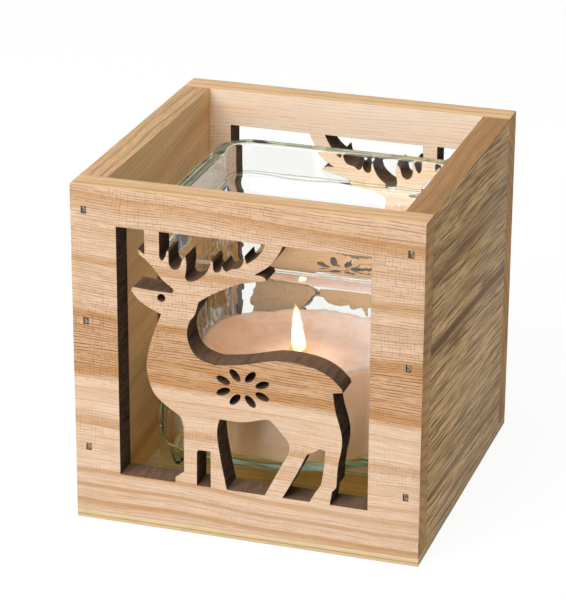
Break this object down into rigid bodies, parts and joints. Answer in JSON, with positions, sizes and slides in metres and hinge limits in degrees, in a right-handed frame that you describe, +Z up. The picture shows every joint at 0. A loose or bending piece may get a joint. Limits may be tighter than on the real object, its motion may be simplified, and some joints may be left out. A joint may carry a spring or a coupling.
{
  "type": "candle lantern",
  "caption": "Open-topped square wooden lantern with reindeer fretwork in its front and back, holding a loose square glass cup with a short pillar candle.",
  "frame": {"origin": "middle of the underside of the base board", "axes": "+Z up, -Y out of the front face, +X to the right as seen from the front"},
  "size_m": [0.1, 0.1, 0.1],
  "materials": {
    "board_wood": "untreated planed softwood with fine straight grain and charred laser-cut edges",
    "plywood": "pale unfinished thin plywood",
    "brad_steel": "dull bright steel",
    "cup_glass": "clear pressed glass with a slight green tint and wavy walls",
    "wax": "cream candle wax, slightly translucent",
    "wick": "charred braided cotton",
    "sustainer_steel": "tinned steel"
  },
  "bodies": {
    "box": {"front_panel": "board_wood", "back_panel": "board_wood", "left_panel": "board_wood", "right_panel": "board_wood", "base_board": "plywood", "front_left_brad_1": "brad_steel", "front_left_brad_2": "brad_steel", "front_left_brad_3": "brad_steel", "front_right_brad_1": "brad_steel", "front_right_brad_2": "brad_steel", "front_right_brad_3": "brad_steel", "back_left_brad_1": "brad_steel", "back_left_brad_2": "brad_steel", "back_left_brad_3": "brad_steel", "back_right_brad_1": "brad_steel", "back_right_brad_2": "brad_steel", "back_right_brad_3": "brad_steel", "base_front_brad_1": "brad_steel", "base_front_brad_2": "brad_steel", "base_back_brad_1": "brad_steel", "base_back_brad_2": "brad_steel", "base_left_brad_1": "brad_steel", "base_left_brad_2": "brad_steel", "base_right_brad_1": "brad_steel", "base_right_brad_2": "brad_steel"},
    "glass": {"glass_cup": "cup_glass"},
    "candle": {"candle_wax": "wax", "candle_wick": "wick", "wick_sustainer": "sustainer_steel"}
  },
  "joints": [
    {"name": "glass_lift", "type": "slide", "parent": "box", "child": "glass", "axis": [0, 0, 1], "range_m": [0, 0.1]},
    {"name": "candle_lift", "type": "slide", "parent": "glass", "child": "candle", "axis": [0, 0, 1], "range_m": [0, 0.075]}
  ]
}
